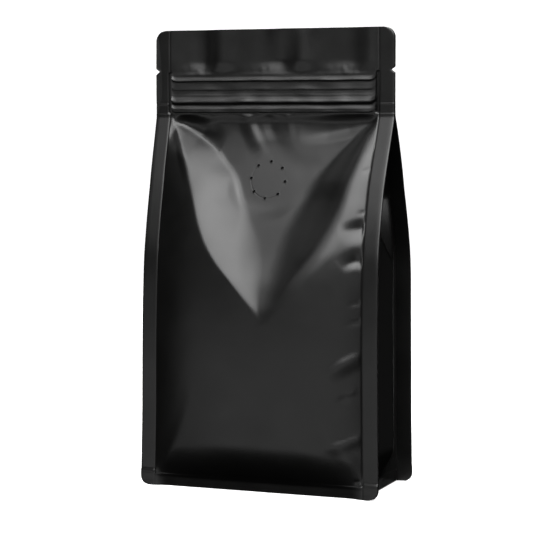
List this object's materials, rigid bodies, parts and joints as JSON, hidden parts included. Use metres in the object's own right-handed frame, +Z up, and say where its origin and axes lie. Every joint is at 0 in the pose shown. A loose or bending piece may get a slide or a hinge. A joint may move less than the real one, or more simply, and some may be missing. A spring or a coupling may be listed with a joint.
{
  "type": "stand-up pouch with valve",
  "caption": "Shut, filled flat-bottom pouch with side gussets, corner seal fins, a covered press-to-close zip, tear notches and a round degassing valve on the front.",
  "frame": {"origin": "middle of the base, on the plane the pouch stands on", "axes": "+Z up to the header, -Y out of the front panel that carries the valve, +X to the right seen from the front"},
  "size_m": [0.14, 0.08, 0.2514],
  "materials": {
    "film": "satin black laminate film with a soft sheen",
    "valve": "the same satin black film drawn flat over the valve disc"
  },
  "bodies": {
    "root": {"pouch": "film", "valve": "valve"}
  },
  "joints": []
}
